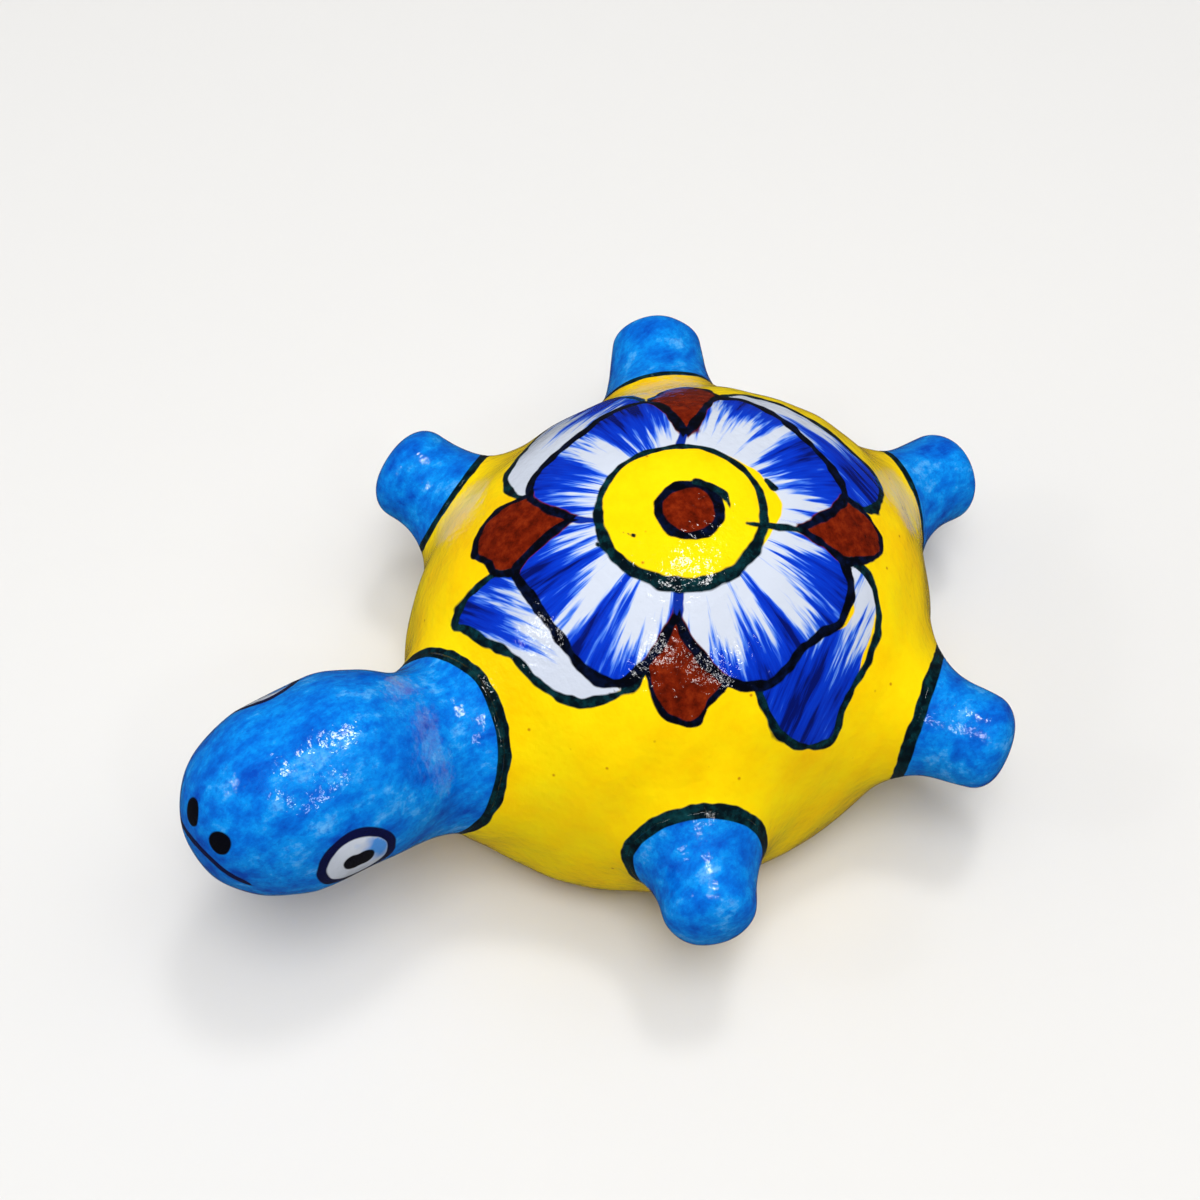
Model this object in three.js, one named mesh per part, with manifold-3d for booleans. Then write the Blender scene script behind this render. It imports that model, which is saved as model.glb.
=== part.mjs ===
// A glazed ceramic tortoise paperweight in millimetres, +Z up, head towards -Y and its left side towards +X.
// The origin is the centre of the flat foot that it rests on.
// A hollow shell is pressed in two halves; the solid head, legs and tail are luted on with slip.
import * as THREE from "three";
import { mergeVertices } from "three/addons/utils/BufferGeometryUtils.js";
import Module from "manifold-3d";

const wasm = await Module();
wasm.setup();

// Shell
const shellWidth = 54.8;
const shellLength = 62.6;
const domeHeight = 27.6; // from the seam up to the crown
const bellyDepth = 12; // from the seam down to the foot
const footWidth = 45; // flat of the foot across the shell
const shellFullness = 2.2; // power of the shell's rounded section: 2 is an ellipse, more is fuller
const shellWall = 5;
const ventDiameter = 5;
const ventSetback = 9; // from the centre of the foot towards the tail

// Joints: a film of slip lies between the pieces, and each limb spreads in a flare where it meets the shell.
const slipFilm = 0.3;
const limbFlare = 7;
const flareSpread = 2.6; // how far a limb's own foot spreads before the flare runs out on the shell
const rootDepth = 3; // how far inside the shell a limb is drawn before it is cut to fit

// Stub legs and tail. Bearings turn from the head towards the tortoise's left; tilts are upwards.
const stubRootRadius = 5.8;
const stubTipRadius = 5.4;
const stubTipRound = 4; // depth of the rounded end of a stub
const legRise = 5.5; // seat of the legs above the seam
const tailRise = 3.2;
const frontLeftLength = 10.4;
const rearLeftLength = 12;
const rearRightLength = 13.8;
const frontRightLength = 11.7;
const tailLength = 13.6;
const stubs = [
  { name: "front_left_leg", bearing: 58.4, rise: legRise, tilt: 4.8, length: frontLeftLength },
  { name: "rear_left_leg", bearing: 119.7, rise: legRise, tilt: 1.6, length: rearLeftLength },
  { name: "rear_right_leg", bearing: 236.2, rise: legRise, tilt: 6.6, length: rearRightLength },
  { name: "front_right_leg", bearing: 290.6, rise: legRise, tilt: 8.9, length: frontRightLength },
  { name: "tail", bearing: 181, rise: tailRise, tilt: -15, length: tailLength },
];

// Neck and head
const neckRise = 7.6; // seat of the neck above the seam
const neckBearing = -10;
const neckTilt = 27;
const neckLength = 11.5; // from the shell to the middle of the skull
const neckRadius = 7.3;
const skullRadius = 10;
const noseBearing = -4.6;
const noseTilt = 3;
const noseReach = 8.3; // from the middle of the skull to the centre of the rounded nose
const noseRadius = 9.8;

// Facets
const shellSegments = 64;
const shellRings = 22;
const hollowSegments = 40;
const hollowRings = 12;
const limbSegments = 28;
const ventSegments = 24;
const stubRows = 10;
const neckRows = 30;
const arcSteps = 5;
const footLean = 45; // degrees that a limb's spokes lean back at its foot, so that they meet the flare squarely
const flareHalvings = 24; // steps that close in on the flare

const seamHeight = bellyDepth;
const radians = THREE.MathUtils.degToRad;

function solidOf(geometry) {
  const bare = geometry.clone();
  bare.deleteAttribute("normal");
  bare.deleteAttribute("uv");
  const merged = mergeVertices(bare, 1e-4);
  return new wasm.Manifold(
    new wasm.Mesh({
      numProp: 3,
      vertProperties: new Float32Array(merged.attributes.position.array),
      triVerts: new Uint32Array(merged.index.array),
    }),
  );
}

function geometryOf(solid) {
  const mesh = solid.getMesh();
  const geometry = new THREE.BufferGeometry();
  geometry.setAttribute("position", new THREE.BufferAttribute(mesh.vertProperties, 3));
  geometry.setIndex(new THREE.BufferAttribute(mesh.triVerts, 1));
  geometry.computeVertexNormals();
  return geometry;
}

// How far the shell's rounded section stands out at a share of its height, both from 0 to 1.
function fullnessAt(share) {
  return (1 - Math.abs(share) ** shellFullness) ** (1 / shellFullness);
}

// Sizes of a surface that lies inset from the shell's outside, or outside it where the inset is negative.
function shellSizes(inset) {
  const halfWidth = shellWidth / 2 - inset;
  const depth = bellyDepth - inset;
  return {
    halfWidth,
    halfLength: shellLength / 2 - inset,
    dome: domeHeight - inset,
    depth,
    belly: depth / fullnessAt((footWidth / 2 - inset) / halfWidth), // where the belly would close below the foot
  };
}

// A closed shell surface with its flat foot, as a solid.
function shellSolid(inset, segments, rings) {
  const { halfWidth, halfLength, dome, depth, belly } = shellSizes(inset);
  const profile = [new THREE.Vector2(0, -depth)];
  const footAngle = Math.asin(depth / belly);
  for (let i = 0; i < rings; i++) {
    const angle = THREE.MathUtils.lerp(-footAngle, Math.PI / 2, i / rings);
    const height = Math.sin(angle);
    profile.push(new THREE.Vector2(halfWidth * fullnessAt(height), height * (angle > 0 ? dome : belly)));
  }
  profile.push(new THREE.Vector2(0, dome));
  const geometry = new THREE.LatheGeometry(profile, segments);
  geometry.rotateX(Math.PI / 2);
  geometry.scale(1, halfLength / halfWidth, 1);
  geometry.translate(0, 0, seamHeight);
  return solidOf(geometry);
}

// Distance of a point outside the shell, negative inside.
const outside = shellSizes(0);
function shellDistance(point) {
  const across = Math.hypot(point.x / outside.halfWidth, point.y / outside.halfLength);
  const rise = point.z - seamHeight;
  const tall = rise > 0 ? outside.dome : outside.belly;
  const up = Math.abs(rise) / tall;
  const level = (across ** shellFullness + up ** shellFullness) ** (1 / shellFullness);
  const outwards = (across / level) ** (shellFullness - 1) * across / Math.hypot(point.x, point.y);
  const upwards = (up / level) ** (shellFullness - 1) / tall;
  return (level - 1) / Math.hypot(outwards, upwards);
}

// Direction with a bearing from the head and an upward tilt.
function heading(bearing, tilt) {
  const flat = Math.cos(radians(tilt));
  return new THREE.Vector3(
    Math.sin(radians(bearing)) * flat,
    -Math.cos(radians(bearing)) * flat,
    Math.sin(radians(tilt)),
  );
}

// Point on the shell's outside at a bearing and a rise above the seam.
function seatOf(bearing, rise) {
  const way = heading(bearing, 0);
  const plan = 1 / Math.hypot(way.x / outside.halfWidth, way.y / outside.halfLength);
  const seat = way.multiplyScalar(plan * fullnessAt(rise / outside.dome));
  seat.z = seamHeight + rise;
  return seat;
}

// Radius at which the flare between a limb of the given radius and the shell meets the air, along one spoke.
function flaredRadius(centre, spoke, radius) {
  const point = new THREE.Vector3();
  let low = radius;
  let high = radius + flareSpread;
  for (let i = 0; i < flareHalvings; i++) {
    const middle = (low + high) / 2;
    const shell = shellDistance(point.copy(centre).addScaledVector(spoke, middle));
    const limb = middle - radius;
    const blend = Math.max(limbFlare - Math.abs(shell - limb), 0) ** 2 / (4 * limbFlare);
    if (Math.min(shell, limb) < blend) low = middle;
    else high = middle;
  }
  return high;
}

// Turned profiles meet this surface, a film of slip away from the shell.
const slipSurface = shellSolid(-slipFilm, shellSegments, shellRings);

// Turns a profile of radius against distance round an axis curve, flares its foot and fits it to the shell.
// The lean of the spokes fades out from the root to the shoulder.
function limbGeometry(axis, profile, shoulder) {
  const geometry = new THREE.LatheGeometry(profile, limbSegments);
  const length = axis.getLength();
  const vertices = geometry.attributes.position;
  const flat = new THREE.Vector3();
  for (let i = 0; i < vertices.count; i++) {
    flat.fromBufferAttribute(vertices, i);
    const along = Math.min(flat.y / length, 1);
    const centre = axis.getPointAt(along);
    const ahead = axis.getTangentAt(along);
    const side = new THREE.Vector3(0, 0, 1).cross(ahead).normalize();
    const above = new THREE.Vector3().crossVectors(ahead, side);
    const radius = Math.hypot(flat.x, flat.z);
    const lean = footLean * Math.max(1 - flat.y / shoulder, 0);
    const spoke = side.multiplyScalar(flat.z).addScaledVector(above, flat.x).normalize();
    spoke.addScaledVector(ahead, -Math.tan(radians(lean)));
    if (radius > slipFilm) centre.addScaledVector(spoke, flaredRadius(centre, spoke, radius));
    vertices.setXYZ(i, centre.x, centre.y, centre.z);
  }
  return geometryOf(solidOf(geometry).subtract(slipSurface));
}

// A stub runs straight out from a root inside the shell and ends in a rounded tip.
function stubGeometry({ bearing, rise, tilt, length }) {
  const seat = seatOf(bearing, rise);
  const way = heading(bearing, tilt);
  const root = seat.clone().addScaledVector(way, -rootDepth);
  const tip = seat.clone().addScaledVector(way, length);
  const total = rootDepth + length;
  const shoulder = total - stubTipRound;
  const side = new THREE.LineCurve(
    new THREE.Vector2(stubRootRadius, 0),
    new THREE.Vector2(stubTipRadius, shoulder),
  );
  const tipArc = new THREE.EllipseCurve(0, shoulder, stubTipRadius, stubTipRound, 0, Math.PI / 2);
  const profile = [new THREE.Vector2(0, 0), ...side.getPoints(stubRows)];
  profile.push(...tipArc.getPoints(arcSteps).slice(1, -1), new THREE.Vector2(0, total));
  return limbGeometry(new THREE.LineCurve3(root, tip), profile, shoulder);
}

// The neck climbs out of the shell, bends level at the skull and ends in a rounded nose.
function headGeometry() {
  const seat = seatOf(0, neckRise);
  const climb = heading(neckBearing, neckTilt);
  const level = heading(noseBearing, noseTilt);
  const root = seat.clone().addScaledVector(climb, -rootDepth);
  const bend = seat.clone().addScaledVector(climb, neckLength / 2);
  const skull = seat.clone().addScaledVector(climb, neckLength);
  const nose = skull.clone().addScaledVector(level, noseReach);
  const tip = nose.clone().addScaledVector(level, noseRadius);
  const axis = new THREE.CatmullRomCurve3([root, bend, skull, nose, tip]);
  const total = axis.getLength();
  const noseFrom = total - noseRadius;
  const skullFrom = noseFrom - noseReach;
  const side = new THREE.SplineCurve([
    new THREE.Vector2(neckRadius, 0),
    new THREE.Vector2(neckRadius, rootDepth),
    new THREE.Vector2(skullRadius, skullFrom),
    new THREE.Vector2(noseRadius, noseFrom),
  ]);
  const noseArc = new THREE.EllipseCurve(0, noseFrom, noseRadius, noseRadius, 0, Math.PI / 2);
  const profile = [new THREE.Vector2(0, 0), ...side.getPoints(neckRows)];
  profile.push(...noseArc.getPoints(arcSteps).slice(1, -1), new THREE.Vector2(0, total));
  return limbGeometry(axis, profile, skullFrom);
}

// A block that holds everything above, or below, the film of slip at the seam.
function seamBlock(up) {
  const size = 2 * (shellLength + domeHeight + bellyDepth);
  const block = new THREE.BoxGeometry(size, size, size);
  block.translate(0, 0, seamHeight + up * (size / 2 + slipFilm / 2));
  return solidOf(block);
}

function shellHalves() {
  const hollow = shellSolid(0, shellSegments, shellRings).subtract(
    shellSolid(shellWall, hollowSegments, hollowRings),
  );
  const vent = new THREE.CylinderGeometry(ventDiameter / 2, ventDiameter / 2, 2 * bellyDepth, ventSegments);
  vent.rotateX(Math.PI / 2);
  vent.translate(0, ventSetback, 0);
  return {
    upper_shell: geometryOf(hollow.intersect(seamBlock(1))),
    lower_shell: geometryOf(hollow.intersect(seamBlock(-1)).subtract(solidOf(vent))),
  };
}

function yellowGlaze() {
  return new THREE.MeshStandardMaterial({ color: 0xffd500, roughness: 0.15, metalness: 0 });
}

function blueGlaze() {
  return new THREE.MeshStandardMaterial({ color: 0x1f7fd6, roughness: 0.15, metalness: 0 });
}

const tortoise = new THREE.Group();
function addPiece(name, geometry, material) {
  const piece = new THREE.Mesh(geometry, material);
  piece.name = name;
  tortoise.add(piece);
}

for (const [name, geometry] of Object.entries(shellHalves())) addPiece(name, geometry, yellowGlaze());
addPiece("head", headGeometry(), blueGlaze());
for (const stub of stubs) addPiece(stub.name, stubGeometry(stub), blueGlaze());

export default tortoise;
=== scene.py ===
import math

import bmesh
import bpy
import numpy as np
from mathutils import Matrix, Vector


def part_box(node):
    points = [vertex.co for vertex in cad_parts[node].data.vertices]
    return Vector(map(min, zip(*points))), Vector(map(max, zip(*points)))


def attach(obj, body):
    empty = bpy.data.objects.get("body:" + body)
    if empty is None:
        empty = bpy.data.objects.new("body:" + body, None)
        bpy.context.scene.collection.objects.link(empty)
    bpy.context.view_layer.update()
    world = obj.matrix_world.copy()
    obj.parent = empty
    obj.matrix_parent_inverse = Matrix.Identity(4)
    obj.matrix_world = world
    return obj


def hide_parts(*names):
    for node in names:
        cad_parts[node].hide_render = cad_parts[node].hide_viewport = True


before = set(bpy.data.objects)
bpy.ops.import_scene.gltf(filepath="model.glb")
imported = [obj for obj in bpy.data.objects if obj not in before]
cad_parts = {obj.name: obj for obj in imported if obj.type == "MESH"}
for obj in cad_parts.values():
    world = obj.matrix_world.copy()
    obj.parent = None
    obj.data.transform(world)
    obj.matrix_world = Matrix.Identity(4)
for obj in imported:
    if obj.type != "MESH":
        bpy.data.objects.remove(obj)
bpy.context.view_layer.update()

# Shell
# A hollow dome of fired clay on a rounded belly with a flat foot and a firing vent, its halves joined with
# slip. The head, legs and tail are stuck on, and each joint is smoothed into a flare, so the skin rises at
# every limb. Sizes are in millimetres until a mesh is filled.
MM = 0.001
upper_low, upper_high = (np.array(corner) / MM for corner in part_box("upper_shell"))
lower_high = np.array(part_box("lower_shell")[1]) / MM
half_width = (upper_high[0] - upper_low[0]) / 2
half_length = (upper_high[1] - upper_low[1]) / 2
seam = (upper_low[2] + lower_high[2]) / 2
dome = upper_high[2] - seam
fullness = 2.2  # power of the rounded section: 2 is an ellipse, more is fuller
foot_width = 45
foot_edge = 1.5  # rounding where the belly turns into the foot
belly = seam / (1 - (foot_width / 2 / half_width) ** fullness) ** (1 / fullness)
middle_of_shell = np.array([0, 0, seam])
flare = 7  # reach of the smoothed joint between a limb and the shell

# Bearings turn from the head towards the tortoise's left, tilts are upwards, and a rise is above the seam.
# A ring is painted round each limb: its distance out from the shell, the bearing and tilt of its plane, and
# half the width of its line.
root_depth = 3
blunt = 2  # how much flatter than round a stub's tip is
stubs = {
    "front_left_leg": {
        "bearing": 59.1, "rise": 5.5, "tilt": 4.8, "length": 10.5, "radii": (5.8, 5),
        "ring": (1.2, 59.5, 13, 0.8),
    },
    "rear_left_leg": {
        "bearing": 119.7, "rise": 5.5, "tilt": 1.6, "length": 12.2, "radii": (6.6, 5.2),
        "ring": (1.6, 123, -1, 0.75),
    },
    "rear_right_leg": {
        "bearing": 235.4, "rise": 5.4, "tilt": 6.6, "length": 13, "radii": (6.3, 4.5),
        "ring": (1.2, 244, -2.8, 0.5),
    },
    "front_right_leg": {
        "bearing": 291.3, "rise": 5.5, "tilt": 9, "length": 11.4, "radii": (5.4, 5.4),
        "ring": (2.1, 294, 16.7, 0.55),
    },
    "tail": {
        "bearing": 178.5, "rise": 3.2, "tilt": -8.5, "length": 12.1, "radii": (5.2, 5),
        "ring": (1.1, 166, -7, 0.5),
    },
}
neck = {"bearing": -10, "rise": 7.6, "tilt": 26.5, "length": 12.7, "ring": (1.1, -1, 30, 0.68)}
neck_radius = 7.9
skull_radius = 8.5
nose_radius = 9.5
nose_bearing = -4.8
nose_tilt = 4
nose_reach = 7.55
skull_blend = 6.9  # the skull swells by a quarter of this where the neck's and the nose's masses meet


def heading(bearing, tilt):
    """Direction with a bearing from the head and an upward tilt."""
    turn, climb = math.radians(bearing), math.radians(tilt)
    return np.array([
        math.sin(turn) * math.cos(climb),
        -math.cos(turn) * math.cos(climb),
        math.sin(climb),
    ])


def seat_on_shell(bearing, rise):
    """Point on the bare shell at a bearing and a rise above the seam."""
    way = heading(bearing, 0)
    reach = 1 / math.hypot(way[0] / half_width, way[1] / half_length)
    seat = way * reach * (1 - (rise / dome) ** fullness) ** (1 / fullness)
    seat[2] = seam + rise
    return seat


def shell_distance(points):
    """Distance of points from the bare shell, negative inside."""
    across = np.hypot(points[:, 0] / half_width, points[:, 1] / half_length)
    rise = points[:, 2] - seam
    tall = np.where(rise > 0, dome, belly)
    up = np.abs(rise) / tall
    level = (across**fullness + up**fullness) ** (1 / fullness)
    spread = np.maximum(np.hypot(points[:, 0], points[:, 1]), 1e-6)
    slope_out = (across / level) ** (fullness - 1) * across / spread
    slope_up = (up / level) ** (fullness - 1) / tall
    return (level - 1) / np.hypot(slope_out, slope_up)


def limb_distance(points, start, end, start_radius, end_radius):
    """Distance of points from a round limb that tapers between two centres."""
    bone = end - start
    along = np.clip((points - start) @ bone / (bone @ bone), 0, 1)
    centre = start + along[:, None] * bone
    radius = start_radius + along * (end_radius - start_radius)
    return np.linalg.norm(points - centre, axis=1) - radius


def smooth_min(first, second, reach):
    """The nearer of two distances, with the corner between them filled as a thumb fills a joint."""
    return np.minimum(first, second) - np.maximum(reach - np.abs(first - second), 0) ** 2 / (4 * reach)


limbs = {**stubs, "head": neck}
for name, limb in limbs.items():
    limb["seat"] = seat_on_shell(0 if name == "head" else limb["bearing"], limb["rise"])
    limb["way"] = heading(limb["bearing"], limb["tilt"])
    limb["root"] = limb["seat"] - root_depth * limb["way"]
    out, bearing, tilt, limb["ring_half"] = limb["ring"]
    limb["ring_centre"] = limb["seat"] + out * limb["way"]
    limb["ring_way"] = heading(bearing, tilt)
for stub in stubs.values():
    stub["tip"] = stub["seat"] + (stub["length"] - stub["radii"][1]) * stub["way"]
skull = neck["seat"] + neck["length"] * neck["way"]
nose = skull + nose_reach * heading(nose_bearing, nose_tilt)


def finger_waves(points):
    """Unevenness of a hand-pressed form: waves one to two centimetres long, and one side a little fuller."""
    x, y, z = points.T
    long_wave = np.sin(0.37 * x + 0.21 * z + 0.6) * np.sin(0.33 * y - 0.29 * z + 1.9)
    short_wave = np.sin(0.71 * y + 0.43 * x + 2.2) * np.sin(0.62 * z - 0.38 * x)
    fuller_side = np.clip((points - middle_of_shell) @ heading(230, 30) / half_length, 0, 1) ** 3
    return 0.12 * long_wave + 0.07 * short_wave - 0.8 * fuller_side


def clay(points):
    """Distance of points from the whole tortoise, with every joint smoothed."""
    head = smooth_min(
        limb_distance(points, neck["root"], skull, neck_radius, skull_radius),
        limb_distance(points, skull, nose, skull_radius, nose_radius),
        skull_blend,
    )
    form = smooth_min(shell_distance(points), head, flare)
    for stub in stubs.values():
        limb = limb_distance(points, stub["root"], stub["tip"] + blunt * stub["way"], *stub["radii"])
        past_end = (points - stub["seat"]) @ stub["way"] - stub["length"] - blunt / 8
        form = smooth_min(form, -smooth_min(-limb, -past_end, 2 * blunt), flare)
    return form + finger_waves(points)


def from_ring(points, limb):
    """How far points lie outside the plane of a limb's painted ring, and how far from the limb's axis."""
    offset = points - limb["ring_centre"]
    out = np.linalg.norm(offset - (offset @ limb["way"])[:, None] * limb["way"], axis=1)
    return offset @ limb["ring_way"], out


ring_overlap = 0.4  # how far the shell's flare runs on under a limb's skin
limb_room = 15  # no flare is wider than this at its ring


def shell_skin(points):
    """Distance from the shell with its flat foot and its flares, which end just past the painted rings."""
    form = clay(points)
    for limb in limbs.values():
        along, out = from_ring(points, limb)
        form = np.where(out < limb_room, np.maximum(form, along - ring_overlap), form)
    return -smooth_min(-form, points[:, 2], foot_edge)


halvings = 26  # steps that close in on a surface


def reach_of(form, origins, ways, near, far):
    """How far along each ray the form's surface lies, found by halving."""
    low = np.full(len(ways), float(near))
    high = np.full(len(ways), float(far))
    for _ in range(halvings):
        middle = (low + high) / 2
        inside = form(origins + ways * middle[:, None]) < 0
        low = np.where(inside, middle, low)
        high = np.where(inside, high, middle)
    return low


def skin_of(name, segments, rows, place):
    """A ball of quads, smooth shaded, whose points on the unit sphere are moved by the given function."""
    ball = bmesh.new()
    bmesh.ops.create_uvsphere(ball, u_segments=segments, v_segments=rows, radius=1)
    mesh = bpy.data.meshes.new(name)
    ball.to_mesh(mesh)
    ball.free()
    unit = np.empty(3 * len(mesh.vertices), np.float32)
    mesh.vertices.foreach_get("co", unit)
    moved = place(unit.reshape(-1, 3).astype(float)) * MM
    mesh.vertices.foreach_set("co", moved.astype(np.float32).ravel())
    mesh.shade_smooth()
    piece = bpy.data.objects.new(name, mesh)
    bpy.context.scene.collection.objects.link(piece)
    return piece


def places_of(piece):
    """The points of a piece's mesh in millimetres."""
    places = np.empty(3 * len(piece.data.vertices), np.float32)
    piece.data.vertices.foreach_get("co", places)
    return places.reshape(-1, 3).astype(float) / MM


def store(piece, **fields):
    """Keeps each field of distances on the piece's points, for its material to read."""
    for name, values in fields.items():
        attribute = piece.data.attributes.new(name, "FLOAT", "POINT")
        attribute.data.foreach_set("value", values.astype(np.float32))


shell_rays = (8, 60)  # where the search for the surface starts and ends
spoke_rays = (0.5, 20)


def place_on_shell(unit):
    """Points of the shell along rays from its middle."""
    reach = reach_of(shell_skin, middle_of_shell, unit, *shell_rays)
    return middle_of_shell + unit * reach[:, None]


shell = skin_of("shell", 320, 240, place_on_shell)

# The vent is pierced through the foot behind its middle, as deep as the wall and a little into the hollow.
vent_diameter = 5
vent_setback = 9
vent_depth = 6
drill = bmesh.new()
bmesh.ops.create_cone(
    drill,
    cap_ends=True,
    segments=48,
    radius1=vent_diameter / 2 * MM,
    radius2=vent_diameter / 2 * MM,
    depth=2 * vent_depth * MM,
    matrix=Matrix.Translation((0, vent_setback * MM, 0)),
)
drill_mesh = bpy.data.meshes.new("vent")
drill.to_mesh(drill_mesh)
drill.free()
vent = bpy.data.objects.new("vent", drill_mesh)
bpy.context.scene.collection.objects.link(vent)
pierce = shell.modifiers.new("pierce", "BOOLEAN")
pierce.object = vent
pierce.operation = "DIFFERENCE"
pierce.solver = "EXACT"
pierced = bpy.data.meshes.new_from_object(shell.evaluated_get(bpy.context.evaluated_depsgraph_get()))
shell.modifiers.clear()
shell.data = pierced
bpy.data.objects.remove(vent)


def side_and_above(way):
    """The directions to the left of a heading and above it."""
    side = np.cross((0, 0, 1), way)
    side = side / np.linalg.norm(side)
    return side, np.cross(way, side)


def outward(points):
    """The direction straight out of the clay at points on its surface."""
    steps = 0.2 * np.eye(3)
    slopes = np.stack([clay(points + step) - clay(points - step) for step in steps], axis=1)
    return slopes / np.linalg.norm(slopes, axis=1)[:, None]


def ring_fields(points, limb):
    """Distance from the plane of a limb's painted ring, and half the ring's width square to that plane.

    The brush keeps its width on the clay, so the width square to the plane follows the clay's slope.
    """
    side, above = side_and_above(limb["ring_way"])
    turns = np.radians(np.arange(0, 360, 5))
    spokes = np.outer(np.cos(turns), side) + np.outer(np.sin(turns), above)
    reach = reach_of(clay, limb["ring_centre"], spokes, *spoke_rays)
    facing = outward(limb["ring_centre"] + spokes * reach[:, None]) @ limb["ring_way"]
    halves = limb["ring_half"] * np.sqrt(1 - facing**2)
    offset = points - limb["ring_centre"]
    half = np.interp(np.arctan2(offset @ above, offset @ side), turns, halves, period=2 * math.pi)
    return offset @ limb["ring_way"], half


far_from_rings = -9.0


def ring_of_nearest_limb(points):
    """The fields of the nearest limb's painted ring."""
    distance = np.full(len(points), far_from_rings)
    half = np.ones(len(points))
    for limb in limbs.values():
        near = np.flatnonzero(from_ring(points, limb)[1] < limb_room)
        away, wide = ring_fields(points[near], limb)
        closer = np.abs(away / wide) < np.abs(distance[near] / half[near])
        distance[near[closer]] = away[closer]
        half[near[closer]] = wide[closer]
    return distance, half


# The flower is drawn flat: a point's distance from the middle is its angle from the crown, times the dome's
# height. Four sepals stand between four petals of two lobes each, with a scroll leaf outside each petal.
# Edges are points of degrees round the flower and of radius; where an edge has no shape of its own, it hides
# under the petals.
flower_turn = 52  # degrees from +X to where the flower's own degrees start
hidden = 9
petal_edge = (
    (5, 14.6), (10, 16.3), (15, 18.1), (19, 18.8), (26, 18.7), (36, 18.3), (44, 18.1), (54, 18.9),
    (63, 19.9), (70, 20), (78, 19.1), (80.5, 15.6), (83, 13.3), (87.5, 10.9),
    (92, 12.8), (96, 15.6), (99, 17.7), (102, 18.9), (108, 18.8), (115, 18.2), (124, 17.3), (129, 16.8),
    (140, 16.8), (149, 17.2), (157, 17.6), (163, 17.3), (169, 16.2), (175, 14), (183, 11.3),
    (187, 12.9), (191.5, 15.1), (195.5, 17.1), (199, 18.2), (204, 17.8), (213, 17.5), (224, 17.7),
    (232, 18.4), (239, 19.3), (246, 19.8), (253, 19.3), (258.5, 17.2), (262, 15.1), (268.5, 11.9),
    (275, 14.6), (281, 16.8), (286, 18.6), (292, 19.7), (299, 20.4), (305, 20), (315, 18.9), (326, 19.5),
    (332, 20.4), (339, 20.1), (346, 19.4), (351, 17.7), (354.5, 15), (357.5, 12.4),
)
sepal_edge = (
    (2, 23), (7, 22.8), (12.5, 21.3), (17, 19), (21, 14), (25, hidden),
    (68, hidden), (73, 14), (77, 19.5), (82, 21.8), (88, 22.8), (94, 22.5), (101, 19), (105, 14),
    (110, hidden),
    (158, hidden), (163, 14), (167.5, 18.3), (169, 19.9), (174.5, 21.7), (179, 22.4), (185, 22.5),
    (189, 20.9), (194.5, 20.3), (199, 18), (203, 14), (208, hidden),
    (250, hidden), (255, 13.5), (260, 17.7), (263, 19.8), (267, 21.6), (274, 22.6), (277.5, 22),
    (279, 20.6), (286, 19), (290, 14), (295, hidden),
    (342, hidden), (347, 14), (352, 18.5), (354, 19.4), (358, 21.5),
)
leaf_edge = (
    (11, hidden), (13, 18), (14, 21.4), (17.5, 23.4), (23.5, 25.4), (30, 26.4), (35, 25), (44.5, 23.6),
    (56, 23.2), (65, 23), (71, 22), (77, 19.9), (80, 15), (84, hidden),
    (99, hidden), (102, 17), (103.5, 21), (108, 24), (116, 26.5), (126, 27), (135, 25.7), (141, 24.1),
    (147.5, 23.1), (155, 22.3), (161, 20.5), (166, 18.4), (169, 15), (177, hidden),
    (192, hidden), (194, 18), (196, 23.6), (200.5, 26.6), (205, 25), (212.5, 23.5), (220, 22.4),
    (229, 22.6), (238, 22.8), (245, 22.2), (251.5, 20.7), (257.5, 18.7), (262, 14), (267, hidden),
    (293, hidden), (295, 19), (297, 24.5), (302, 28), (308, 29.7), (313, 30.3), (317, 28), (323, 26.6),
    (331, 25.8), (339, 25), (345.5, 23.7), (350.5, 21.9), (353, 19.5), (356, 13), (359, hidden),
)

# Where the blue strokes of the petals end towards the middle; the white wedge in each petal has none.
stroke_ends = (
    (5, 16), (12, 15.5), (20, 13.5), (30, 13), (40, 11), (43, 11), (45, 18.5), (51, 18.5), (55, 15.5),
    (70, 15), (77, 16), (81, 17), (88, 12), (96, 14), (104, 11), (112, 9.5), (127, 10), (130, 11),
    (132, 17.5), (140, 17.5), (144, 13), (156, 11), (166, 11.5), (176, 13.5), (183, 12), (188, 10.5),
    (200, 10), (212, 11.5), (220, 14), (223, 18.5), (231, 18.5), (233, 10.5), (236, 11), (240, 14),
    (250, 15.5), (256, 17), (268, 13), (282, 17.5), (288, 15.5), (300, 14.5), (312, 13), (316, 11),
    (318, 19), (326, 19), (330, 13.5), (340, 12.5), (350, 13.5), (356, 14),
)
stroke_fade = 4  # length over which the blue deepens
leaf_depth = 1.6  # the leaves' blue deepens no further than this
stroke_radius = 14  # where the marks of the petals' brush have their own width

# Each leaf's strokes run straight from its blue end to its white end; the blue stops at a share of the way.
leaf_strokes = (
    ((25, 9), (7, 22), 0.5),
    ((-6, 24), (-19, 5), 0.35),
    ((-25, -7), (-5, -19), 0.35),
    ((13, -26), (20, -4), 0.7),
)

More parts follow.
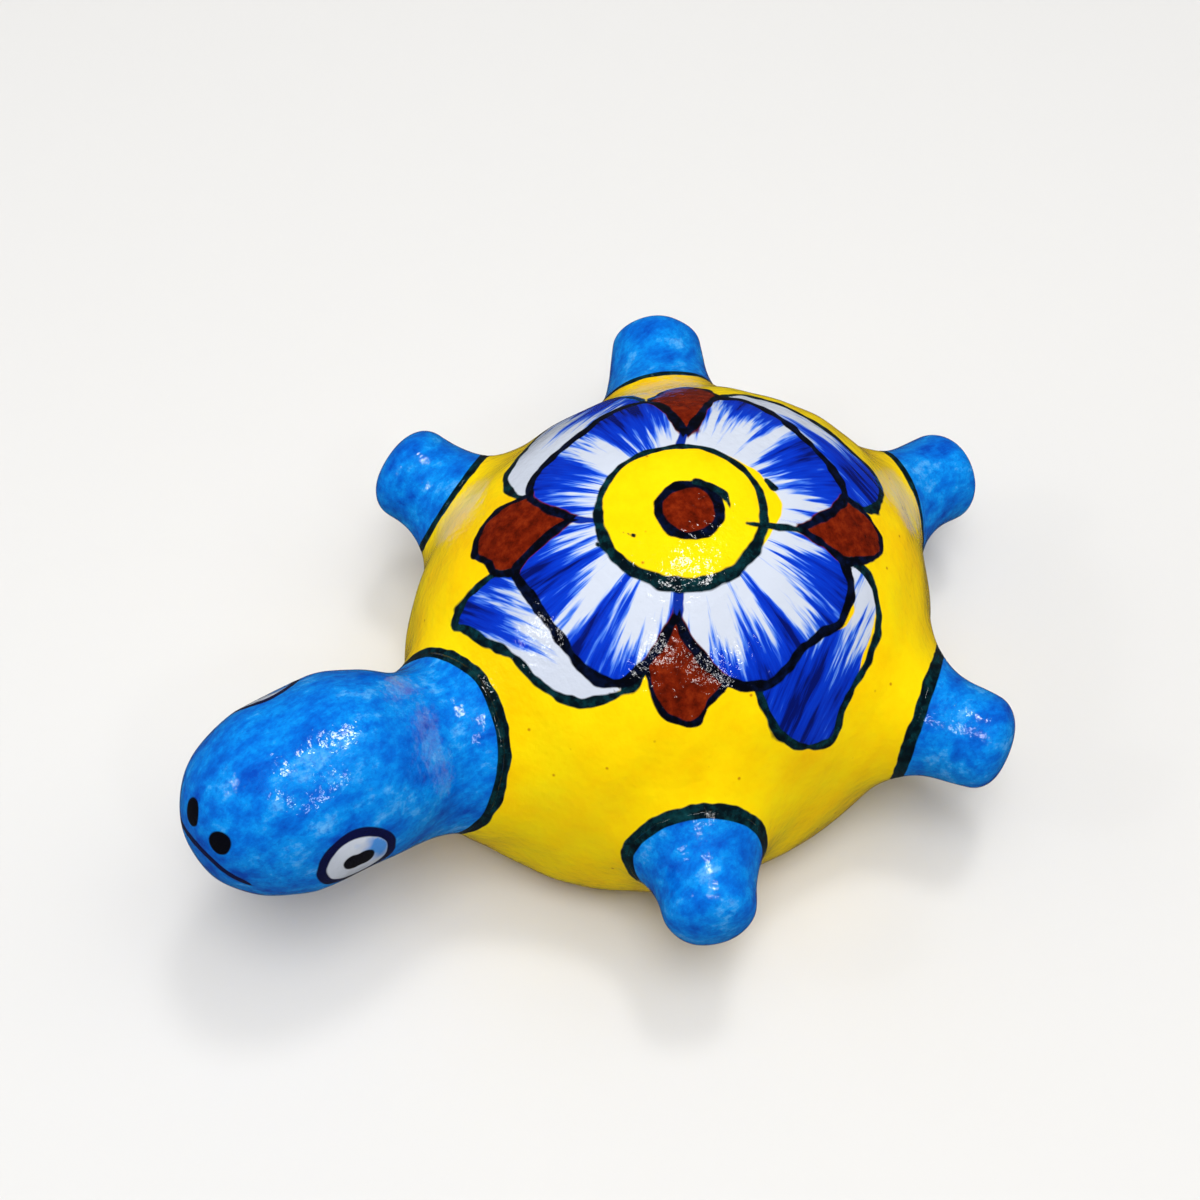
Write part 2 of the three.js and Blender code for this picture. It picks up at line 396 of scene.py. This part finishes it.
# The middle: a ring round a yellow disc, and a brown dot with an outline that ends in a comma.
disc_radius = 8.6
disc_thinning = 0.35  # share by which the ring's line is thicker below and thinner above
smear_width = 1.9  # yellow brushed out past the ring, widest at the smear's middle
smear_middle = 15
smear_spread = 32
bare_strip_width = 0.9  # yellow left between one leaf's white and its outline
bare_strip_middle = 336
bare_strip_spread = 9
brown_past_edge = 0.3  # brown brushed past a sepal's outer edge, and past the petals' edges
brown_past_petal = 0.6
dot_centre = (0.8, 0.05)
dot_line_radius = 3.2

# Single touches of the brush: both ends, and half the width there.
stems = (
    ((-0.2, 8.6), (0.3, 11), 0.3, 0.45),
    ((-8.3, -1.2), (-11.4, -0.7), 0.3, 0.45),
    ((-0.1, -9.3), (-0.2, -12), 0.35, 0.5),
)
touches = (
    ((6.9, -1), (12.4, -0.7), 0.3, 0.35),
    ((1.4, 3.5), (2.9, 3.3), 0.5, 0.45),
    ((2.9, 3.3), (4.4, 2.3), 0.45, 0.35),
    ((4.4, 2.3), (5.3, 0.3), 0.35, 0.12),
    ((8.9, 4.8), (9.8, 3.9), 0.15, 0.25),
    ((-6.3, -2.6), (-4.8, -3.1), 0.1, 0.2),
    ((-8.4, -4), (-7.3, -4.8), 0.25, 0.1),
)


def edge_radius(edge, angle):
    """Radius of an edge at angles round the flower, its corners rounded by the brush over a few degrees."""
    angles, radii = zip(*edge)
    steps = (-1.2, -0.6, 0, 0.6, 1.2)
    return sum(np.interp(angle + step, angles, radii, period=360) for step in steps) / len(steps)


def from_edge(edge, radius, angle):
    """Distance outside an edge of the flower, measured square to it."""
    slope = (edge_radius(edge, angle + 0.5) - edge_radius(edge, angle - 0.5)) / math.radians(1)
    return (radius - edge_radius(edge, angle)) / np.hypot(1, slope / np.maximum(radius, hidden))


def bell(offset, spread):
    """Falls smoothly from one to nothing on both sides of zero."""
    return np.exp(-((offset / spread) ** 2))


def flower_fields(points):
    """Distances from the edges of the flower's painted areas, negative inside, and how its strokes run."""
    offset = points - middle_of_shell
    radius = dome * np.arctan2(np.hypot(offset[:, 0], offset[:, 1]), offset[:, 2])
    angle = (np.degrees(np.arctan2(offset[:, 1], offset[:, 0])) - flower_turn) % 360
    flat = radius[:, None] * np.stack([np.cos(np.radians(angle)), np.sin(np.radians(angle))], axis=1)

    petal = from_edge(petal_edge, radius, angle)
    sepal_outside = from_edge(sepal_edge, radius, angle)
    sepal = np.maximum(sepal_outside, -petal)
    leaf = np.maximum.reduce([from_edge(leaf_edge, radius, angle), -petal, -sepal_outside])

    # The white ground stops short of the yellow smear in the petals, and of one leaf's outline.
    smear = smear_width * bell((angle + 180) % 360 - 180 - smear_middle, smear_spread)
    bare_strip = bare_strip_width * bell(angle - bare_strip_middle, bare_strip_spread)
    ground = np.minimum(np.maximum(petal, disc_radius + smear - radius), leaf + bare_strip)

    # Brown is brushed a little past the outlines that are drawn over it.
    from_dot = np.linalg.norm(flat - dot_centre, axis=1) - dot_line_radius
    brown = np.maximum(sepal_outside - brown_past_edge, -petal - brown_past_petal)
    brown = np.minimum(brown, from_dot)
    disc = (radius - disc_radius) / (1 - disc_thinning * np.sin(np.radians(angle)))
    stem, touch = (
        np.minimum.reduce([limb_distance(flat, np.array(a), np.array(b), *halves) for a, b, *halves in group])
        for group in (stems, touches)
    )

    quarter = (angle // 90).astype(int)
    in_petal = petal < 0
    petal_blue = (radius - edge_radius(stroke_ends, angle)) / stroke_fade
    blue_end, white_end, _ = (np.array(part, float) for part in zip(*leaf_strokes))
    blue_share = np.array([share for _, _, share in leaf_strokes])
    length = np.linalg.norm(white_end - blue_end, axis=1)
    way = (white_end - blue_end) / length[:, None]
    leaf_along = ((flat - blue_end[quarter]) * way[quarter]).sum(axis=1)
    leaf_across = flat[:, 0] * way[quarter, 1] - flat[:, 1] * way[quarter, 0]
    leaf_blue = np.minimum(((blue_share * length)[quarter] - leaf_along) / stroke_fade, leaf_depth)
    return {
        "petal": petal,
        "sepal": sepal,
        "leaf": leaf,
        "ground": ground,
        "brown": brown,
        "disc": disc,
        "dot": from_dot,
        "stem": stem,
        "touch": touch,
        "blueness": np.where(in_petal, petal_blue, leaf_blue),
        "across": np.where(in_petal, np.radians(angle) * stroke_radius, leaf_across),
        "along": np.where(in_petal, radius, leaf_along),
    }


shell_places = places_of(shell)
ring, ring_half = ring_of_nearest_limb(shell_places)
store(shell, ring=ring, ring_half=ring_half, **flower_fields(shell_places))


def linear(hex_colour):
    """An sRGB hex colour as the linear colour that shaders take."""
    parts = [int(hex_colour[i : i + 2], 16) / 255 for i in (1, 3, 5)]
    return (*(c / 12.92 if c <= 0.04045 else ((c + 0.055) / 1.055) ** 2.4 for c in parts), 1)


def add_node(tree, kind, inputs=None, stops=(), **settings):
    """Adds a node. Inputs, by name or number, take values or sockets, and stops are a colour ramp's."""
    node = tree.nodes.new(kind)
    for name, value in settings.items():
        setattr(node, name, value)
    for name, value in (inputs or {}).items():
        if isinstance(value, bpy.types.NodeSocket):
            tree.links.new(value, node.inputs[name])
        else:
            node.inputs[name].default_value = value
    for _ in stops[2:]:
        node.color_ramp.elements.new(1)
    for i, (place, colour) in enumerate(stops):
        node.color_ramp.elements[i].position = place
        node.color_ramp.elements[i].color = linear(colour)
    return node


def per_mm(size):
    """Scale of a pattern on Object coordinates, in metres, for features of a size in millimetres."""
    return 1 / (size * MM)


# Very dark green paint of the rings and of some outlines, from thick to thin
green_paint = ((0.42, "#020F16"), (0.75, "#0A3C42"))


# Clear glaze over painted clay
# Fired glass, smooth but never flat: it gathers in waves a few millimetres long and is finely pitted, which
# breaks each reflection of a lamp into a cluster of specks. Paint edges waver as a loaded brush does.
def glazed(name, sway_of_lines):
    """The material with gloss and bumps, its coordinates, its brush marks and the wavering of its edges."""
    wave_share = 1.4  # waves are higher than pits
    bump_height = 0.1
    material = bpy.data.materials.new(name)
    material.use_nodes = True
    tree = material.node_tree
    shader = tree.nodes["Principled BSDF"]
    shader.inputs["Roughness"].default_value = 0.07
    shader.inputs["IOR"].default_value = 1.5
    where = add_node(tree, "ShaderNodeTexCoord").outputs["Object"]
    waves = add_node(tree, "ShaderNodeTexNoise", {"Vector": where, "Scale": per_mm(3.5), "Detail": 2.0})
    pits = add_node(tree, "ShaderNodeTexNoise", {"Vector": where, "Scale": per_mm(0.9), "Detail": 3.0})
    height = add_node(
        tree,
        "ShaderNodeMath",
        {0: waves.outputs["Fac"], 1: wave_share, 2: pits.outputs["Fac"]},
        operation="MULTIPLY_ADD",
    ).outputs[0]
    bump = add_node(tree, "ShaderNodeBump", {"Height": height, "Strength": 1.0, "Distance": bump_height * MM})
    tree.links.new(bump.outputs["Normal"], shader.inputs["Normal"])
    brush = add_node(
        tree,
        "ShaderNodeTexNoise",
        {"Vector": where, "Scale": per_mm(1.1), "Detail": 5.0, "Roughness": 0.62},
    ).outputs["Fac"]
    sway = add_node(
        tree, "ShaderNodeTexNoise", {"Vector": where, "Scale": per_mm(2.2), "Detail": 1.0}
    ).outputs["Fac"]
    waver = add_node(
        tree,
        "ShaderNodeMapRange",
        {"Value": sway, "To Min": -sway_of_lines, "To Max": sway_of_lines},
    ).outputs[0]
    return material, where, brush, waver


def paint_over(tree, ground, waver, layers, ring_colour):
    """Lays paint over a ground. A layer is a field, half a line's width or 0 for an area, and a colour."""
    soft_edge = 0.08
    reading = {
        field: add_node(tree, "ShaderNodeAttribute", attribute_name=field).outputs["Fac"]
        for field in ("ring", "ring_half", *(field for field, _, _ in layers))
    }
    reading["ring"] = add_node(
        tree, "ShaderNodeMath", {0: reading["ring"], 1: reading["ring_half"]}, operation="DIVIDE"
    ).outputs[0]
    for field, half, colour in [*layers, ("ring", 1, ring_colour)]:
        distance = reading[field]
        if half:
            distance = add_node(tree, "ShaderNodeMath", {0: distance}, operation="ABSOLUTE").outputs[0]
        wavering = add_node(tree, "ShaderNodeMath", {0: distance, 1: waver}).outputs[0]
        mask = add_node(
            tree,
            "ShaderNodeMapRange",
            {
                "Value": wavering,
                "From Min": half - soft_edge,
                "From Max": half + soft_edge,
                "To Min": 1.0,
                "To Max": 0.0,
            },
        ).outputs[0]
        ground = add_node(tree, "ShaderNodeMix", {0: mask, 6: ground, 7: colour}, data_type="RGBA").outputs[2]
    return ground


# Yellow glaze
# Strong opaque yellow with a few brown specks of iron and faint orange patches where it lies thicker.
yellow_glaze, where, brush, waver = glazed("yellow_glaze", 0.45)
tree = yellow_glaze.node_tree
patches = add_node(
    tree,
    "ShaderNodeTexNoise",
    {"Vector": where, "Scale": per_mm(9), "Detail": 5.0, "Roughness": 0.65},
).outputs["Fac"]
yellow = add_node(
    tree,
    "ShaderNodeValToRGB",
    {"Fac": patches},
    stops=((0.3, "#FFE206"), (0.5, "#FFD702"), (0.72, "#FCC500")),
).outputs["Color"]
grains = add_node(tree, "ShaderNodeTexVoronoi", {"Vector": where, "Scale": per_mm(2.2)})
few = add_node(
    tree, "ShaderNodeMath", {0: grains.outputs["Color"], 1: 0.62}, operation="GREATER_THAN"
).outputs[0]
speck = add_node(
    tree,
    "ShaderNodeMapRange",
    {"Value": grains.outputs["Distance"], "From Min": 0.04, "From Max": 0.11, "To Min": few, "To Max": 0.0},
).outputs[0]
yellow = add_node(
    tree, "ShaderNodeMix", {0: speck, 6: yellow, 7: linear("#C98A06")}, data_type="RGBA"
).outputs[2]

# Petals and leaves: cobalt strokes on white, thin and streaky at their tails. The marks are far longer than
# wide, and the load of paint that is left in the brush sets the colour.
bristles_per_mm = 0.62
mark_squeeze = 0.09
streakiness = 9.5
empty_load = 3.4
full_load = 6.9
reading = {
    field: add_node(tree, "ShaderNodeAttribute", attribute_name=field).outputs["Fac"]
    for field in ("blueness", "across", "along")
}
drawn_out = add_node(
    tree, "ShaderNodeMath", {0: reading["along"], 1: mark_squeeze}, operation="MULTIPLY"
).outputs[0]
bristles = add_node(tree, "ShaderNodeCombineXYZ", {"X": reading["across"], "Y": drawn_out}).outputs[0]
streaks = add_node(
    tree,
    "ShaderNodeTexNoise",
    {"Vector": bristles, "Scale": bristles_per_mm, "Detail": 3.6, "Roughness": 0.7},
).outputs["Fac"]
stroked = add_node(
    tree, "ShaderNodeMath", {0: streaks, 1: streakiness, 2: reading["blueness"]}, operation="MULTIPLY_ADD"
).outputs[0]
loaded = add_node(
    tree,
    "ShaderNodeMapRange",
    {"Value": stroked, "From Min": empty_load, "From Max": full_load, "To Min": 0.0, "To Max": 1.0},
).outputs[0]
strokes = add_node(
    tree,
    "ShaderNodeValToRGB",
    {"Fac": loaded},
    stops=(
        (0.16, "#CDD4E2"),
        (0.27, "#A3B8E8"),
        (0.38, "#4478E2"),
        (0.5, "#063AC8"),
        (0.78, "#032CB4"),
        (1, "#031264"),
    ),
).outputs["Color"]
brown = add_node(
    tree, "ShaderNodeValToRGB", {"Fac": brush}, stops=((0.3, "#450C01"), (0.5, "#6B1803"), (0.75, "#8E2D0B"))
).outputs["Color"]
dark_line = add_node(
    tree, "ShaderNodeValToRGB", {"Fac": brush}, stops=((0.45, "#01030C"), (0.8, "#07163C"))
).outputs["Color"]
green_line = add_node(
    tree, "ShaderNodeValToRGB", {"Fac": brush}, stops=green_paint
).outputs["Color"]
painted = paint_over(
    tree,
    yellow,
    waver,
    (
        ("ground", 0, strokes),
        ("brown", 0, brown),
        ("leaf", 0.45, green_line),
        ("sepal", 0.36, dark_line),
        ("stem", 0, linear("#0A2C96")),
        ("petal", 0.52, dark_line),
        ("disc", 0.52, green_line),
        ("dot", 0.52, dark_line),
        ("touch", 0, green_line),
    ),
    green_line,
)

# The foot is wiped bare before firing, so that it doesn't stick to the kiln shelf, and no glaze runs into the
# vent.
wiped_height = 0.45
wiped_edge = 0.15
vent_rim = 0.2
from_vent = np.hypot(shell_places[:, 0], shell_places[:, 1] - vent_setback) - vent_diameter / 2
in_vent = np.maximum(from_vent - vent_rim, shell_places[:, 2] - vent_depth - 1)
store(shell, wiped=np.minimum(shell_places[:, 2] - wiped_height, in_vent))
wiped = add_node(
    tree,
    "ShaderNodeMapRange",
    {
        "Value": add_node(tree, "ShaderNodeAttribute", attribute_name="wiped").outputs["Fac"],
        "From Min": -wiped_edge,
        "From Max": wiped_edge,
        "To Min": 1.0,
        "To Max": 0.0,
    },
).outputs[0]
bare_clay = add_node(
    tree, "ShaderNodeValToRGB", {"Fac": patches}, stops=((0.3, "#D9CBB2"), (0.7, "#EFE6D4"))
).outputs["Color"]
painted = add_node(tree, "ShaderNodeMix", {0: wiped, 6: painted, 7: bare_clay}, data_type="RGBA").outputs[2]
tree.links.new(painted, tree.nodes["Principled BSDF"].inputs["Base Color"])
shell.data.materials.append(yellow_glaze)
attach(shell, "root")
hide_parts("upper_shell", "lower_shell")

# Legs and tail
# Five stubs rolled from solid clay, pressed on with slip and rounded at the tip with the fingers.
# Each skin starts under the painted ring, where it tucks in below the shell's flare.
glaze_coat = 0.03
tuck = 1.2  # how far a limb's skin runs back inside the flare
shoulder_share = 0.6  # share of a skin's rows that ends where the tip starts to round
ring_share = 0.1
tuck_share = 0.05
tuck_width = 0.85  # share of the limb's width that is left inside the flare


def unit_rows(vectors):
    """Vectors, one a row, made one long."""
    return vectors / np.linalg.norm(vectors, axis=1)[:, None]


def limb_skin(name, limb, bend, centre, segments, rows):
    """A limb's skin round an axis that runs from its ring over a bend to the centre of its rounded end."""
    start = limb["ring_centre"]

    def place(unit):
        share = np.arccos(np.clip(-unit[:, 2], -1, 1)) / math.pi
        turn = np.arctan2(unit[:, 1], unit[:, 0])[:, None]
        run = np.clip((share - ring_share) / (shoulder_share - ring_share), 0, 1)[:, None]
        axis = (1 - run) ** 2 * start + 2 * run * (1 - run) * bend + run**2 * centre
        ahead = unit_rows((1 - run) * (bend - start) + run * (centre - bend))
        facing = unit_rows((1 - run) * limb["ring_way"] + run * ahead)
        side = unit_rows(np.cross((0, 0, 1), facing))
        above = np.cross(facing, side)
        lean = math.pi / 2 * np.clip((share - shoulder_share) / (1 - shoulder_share), 0, 1)[:, None]
        spoke = np.cos(lean) * (np.cos(turn) * side + np.sin(turn) * above) + np.sin(lean) * facing
        reach = reach_of(lambda points: clay(points) - glaze_coat, axis, spoke, *spoke_rays)
        reach = reach * np.interp(share, (0, tuck_share, ring_share), (0, tuck_width, 1))
        back = tuck * np.interp(share, (tuck_share, ring_share), (1, 0))[:, None]
        return axis + spoke * reach[:, None] - facing * back

    skin = skin_of(name, segments, rows, place)
    ring, ring_half = ring_fields(places_of(skin), limb)
    store(skin, ring=ring, ring_half=ring_half)
    return skin


# Blue glaze
# Watery cobalt wash, brushed on thin: it pools into darker clouds and leaves paler ones, with grains in it.
def blue_glaze(name, marks=()):
    """The wash with the dark ring at the limb's foot, and painted marks, each a field and a colour."""
    glaze, where, brush, waver = glazed(name, 0.2)
    tree = glaze.node_tree
    brushed = add_node(
        tree, "ShaderNodeVectorMath", {0: where, 1: (1, 0.55, 1)}, operation="MULTIPLY"
    ).outputs[0]
    clouds = add_node(
        tree,
        "ShaderNodeTexNoise",
        {"Vector": brushed, "Scale": per_mm(3), "Detail": 7.0, "Roughness": 0.7},
    ).outputs["Fac"]
    wash = add_node(
        tree,
        "ShaderNodeValToRGB",
        {"Fac": clouds},
        stops=((0.34, "#0449B6"), (0.46, "#046FD6"), (0.57, "#0A8FE9"), (0.72, "#64B6F6")),
    ).outputs["Color"]
    grains = add_node(
        tree,
        "ShaderNodeTexNoise",
        {"Vector": where, "Scale": per_mm(0.6), "Detail": 3.0, "Roughness": 0.7},
    ).outputs["Fac"]
    grain = add_node(
        tree,
        "ShaderNodeMapRange",
        {"Value": grains, "From Min": 0.48, "From Max": 0.7, "To Min": 0.0, "To Max": 0.55},
    ).outputs[0]
    wash = add_node(
        tree, "ShaderNodeMix", {0: grain, 6: wash, 7: linear("#0656C4")}, data_type="RGBA"
    ).outputs[2]
    ring = add_node(
        tree, "ShaderNodeValToRGB", {"Fac": brush}, stops=green_paint
    ).outputs["Color"]
    layers = [(field, 0, linear(colour)) for field, colour in marks]
    painted = paint_over(tree, wash, waver, layers, ring)
    tree.links.new(painted, tree.nodes["Principled BSDF"].inputs["Base Color"])
    return glaze


stub_glaze = blue_glaze("blue_glaze")
for name, stub in stubs.items():
    halfway = (stub["ring_centre"] + stub["tip"]) / 2
    piece = limb_skin(name + "_skin", stub, halfway, stub["tip"], 96, 80)
    piece.data.materials.append(stub_glaze)
    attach(piece, "root")
    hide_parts(name)

# Head
# One solid stub of clay with a thick neck and a rounded nose; the eyes, nostrils and mouth are painted on.
# A mark on its side has a distance back from the nose's middle, and degrees up from the left side.
head = limb_skin("head_skin", neck, skull, nose, 160, 160)
nose_way = heading(nose_bearing, nose_tilt)
left_eye = (4.1, 3)
right_eye = (3.4, 155)
eye_radius = 4.35
eye_line = 1.05
eye_patch_radius = 2.3
eye_patch_back = 2.8
eye_patch_lift = 6
patch_fade = 0.1  # the patch is brushed on thin, so its edge is ten times as soft as a line's
pupil_radius = 1.25
pupil_ends = (-0.4, 0.6)  # the pupil is two dots of the brush that run together
face_turn = 12  # the nostrils and the mouth look a little to the tortoise's left of the head's own axis
nostril_apart = 2.2
nostril_height = 4.3
nostril_radius = 1.25
mouth_height = 1.7
mouth_droop = 0.07
mouth_half_width = 5.4
mouth_half_line = 0.5
front_of_face = 3  # in front of the nose's middle
behind_face = 9  # keeps the marks of the face off the back of the head


def from_mark(points, back, turn):
    """Distance of points from a mark on the head's side."""
    side, above = side_and_above(nose_way)
    spoke = math.cos(math.radians(turn)) * side + math.sin(math.radians(turn)) * above
    origin = nose - back * nose_way
    reach = reach_of(clay, origin[None], spoke[None], *spoke_rays)
    return np.linalg.norm(points - origin - spoke * reach, axis=1)


def face_fields(points):
    """Distances from the edges of the painted face's marks, negative inside."""
    eye = patch = pupil = np.full(len(points), np.inf)
    for (back, turn), upward in ((left_eye, 1), (right_eye, -1)):
        eye = np.minimum(eye, from_mark(points, back, turn))
        patch_turn = turn + eye_patch_lift * upward
        patch = np.minimum(patch, from_mark(points, back + eye_patch_back, patch_turn))
        for end in pupil_ends:
            pupil = np.minimum(pupil, from_mark(points, back + end, turn))
    face_way = heading(nose_bearing + face_turn, nose_tilt)
    side, above = side_and_above(face_way)
    offset = points - nose
    sideways = offset @ side
    up = offset @ above
    not_in_front = np.where(offset @ face_way > front_of_face, 0, behind_face)
    nostril = np.hypot(np.abs(sideways) - nostril_apart, up - nostril_height)
    mouth = np.abs(up - mouth_height + mouth_droop * sideways**2)
    mouth = mouth + np.maximum(np.abs(sideways) - mouth_half_width, 0)
    return {
        "eye": eye - eye_radius,
        "eye_white": eye - eye_radius + eye_line,
        "eye_patch": np.maximum((patch - eye_patch_radius) * patch_fade, eye - eye_radius + eye_line),
        "pupil": pupil - pupil_radius,
        "nostril": nostril + not_in_front - nostril_radius,
        "mouth": mouth + not_in_front - mouth_half_line,
    }


store(head, **face_fields(places_of(head)))
face_marks = (
    ("eye", "#0B0F3C"),
    ("eye_white", "#CFD6E3"),
    ("eye_patch", "#4F95E6"),
    ("pupil", "#0A0A14"),
    ("nostril", "#04050E"),
    ("mouth", "#0A1040"),
)
head.data.materials.append(blue_glaze("blue_glaze_with_face", face_marks))
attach(head, "root")
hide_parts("head")

# Floor, light and camera
# A plain, pale, round table under a wide soft ceiling, with softer light from three sides and small lamps
# for the glints. The room behind is dark to the glaze and a pale backdrop to the camera.
table_radius = 400
floor_tool = bmesh.new()
bmesh.ops.create_circle(floor_tool, cap_ends=True, segments=128, radius=table_radius * MM)
floor_mesh = bpy.data.meshes.new("floor")
floor_tool.to_mesh(floor_mesh)
floor_tool.free()
floor = bpy.data.objects.new("floor", floor_mesh)
floor.visible_glossy = False
bpy.context.scene.collection.objects.link(floor)
paper = bpy.data.materials.new("pale_table")
paper.use_nodes = True
paper.node_tree.nodes["Principled BSDF"].inputs["Base Color"].default_value = linear("#E1E0DE")
paper.node_tree.nodes["Principled BSDF"].inputs["Roughness"].default_value = 0.9
floor.data.materials.append(paper)

world = bpy.data.worlds.new("studio")
world.use_nodes = True
least_light = 0.05
most_light = 0.3
dark_room = 0.04
backdrop = 0.8
brightest_way = heading(232, 60)  # high on the side away from the camera
dimmest_facing = -0.1
brightest_facing = 0.95
facing = add_node(
    world.node_tree,
    "ShaderNodeVectorMath",
    {0: add_node(world.node_tree, "ShaderNodeTexCoord").outputs["Generated"], 1: brightest_way},
    operation="DOT_PRODUCT",
).outputs["Value"]
glow = add_node(
    world.node_tree,
    "ShaderNodeMapRange",
    {
        "Value": facing,
        "From Min": dimmest_facing,
        "From Max": brightest_facing,
        "To Min": least_light,
        "To Max": most_light,
    },
).outputs[0]
ray = add_node(world.node_tree, "ShaderNodeLightPath").outputs
room = add_node(
    world.node_tree,
    "ShaderNodeMapRange",
    {"Value": ray["Is Glossy Ray"], "To Min": glow, "To Max": dark_room},
).outputs[0]
strength = add_node(
    world.node_tree,
    "ShaderNodeMapRange",
    {"Value": ray["Is Camera Ray"], "To Min": room, "To Max": backdrop},
).outputs[0]
world.node_tree.nodes["Background"].inputs["Color"].default_value = linear("#FFFFFF")
world.node_tree.links.new(strength, world.node_tree.nodes["Background"].inputs["Strength"])
bpy.context.scene.world = world

# The small lamps are mirrored in the glaze; the wide ones only light it.
lamp_distance = 750
lamps = {
    "overhead_lamp": {"bearing": -152, "tilt": 76, "size": 0.13, "energy": 0.95, "mirrored": True},
    "near_lamp": {"bearing": 52, "tilt": 66, "size": 0.09, "energy": 0.35, "mirrored": True},
    "front_lamp": {"bearing": -25, "tilt": 45, "size": 0.07, "energy": 0.22, "mirrored": True},
    "left_lamp": {"bearing": 85, "tilt": 52, "size": 0.07, "energy": 0.22, "mirrored": True},
    "ceiling": {"bearing": 52, "tilt": 84, "size": 0.7, "energy": 1.7, "mirrored": False},
    "near_side": {"bearing": 52, "tilt": 76, "size": 0.3, "energy": 1.8, "mirrored": False},
    "head_side": {"bearing": -38, "tilt": 30, "size": 0.7, "energy": 1.2, "mirrored": False},
    "tail_side": {"bearing": 142, "tilt": 60, "size": 0.55, "energy": 0.9, "mirrored": False},
}
for name, setting in lamps.items():
    lamp_data = bpy.data.lights.new(name, "AREA")
    lamp_data.shape = "DISK"
    lamp_data.size = setting["size"]
    lamp_data.energy = setting["energy"]
    lamp = bpy.data.objects.new(name, lamp_data)
    lamp.visible_glossy = setting["mirrored"]
    way = Vector(heading(setting["bearing"], setting["tilt"]))
    lamp.location = way * lamp_distance * MM
    lamp.rotation_euler = (-way).to_track_quat("-Z", "Y").to_euler()
    bpy.context.scene.collection.objects.link(lamp)

azimuth = 52.11
elevation = 57.7
roll = 1.97
distance = 227.6
aim = Vector((-8.4, -3.7, 14.75))
camera_data = bpy.data.cameras.new("camera")
camera_data.lens = 59.3
camera_data.sensor_width = 36
camera_data.clip_start = 0.01
camera = bpy.data.objects.new("camera", camera_data)
back = Vector(heading(azimuth, elevation))
turn = (-back).to_track_quat("-Z", "Y").to_matrix().to_4x4()
camera.matrix_world = (
    Matrix.Translation((aim + back * distance) * MM) @ turn @ Matrix.Rotation(math.radians(roll), 4, "Z")
)
bpy.context.scene.collection.objects.link(camera)
bpy.context.scene.camera = camera
bpy.context.scene.view_settings.view_transform = "Standard"
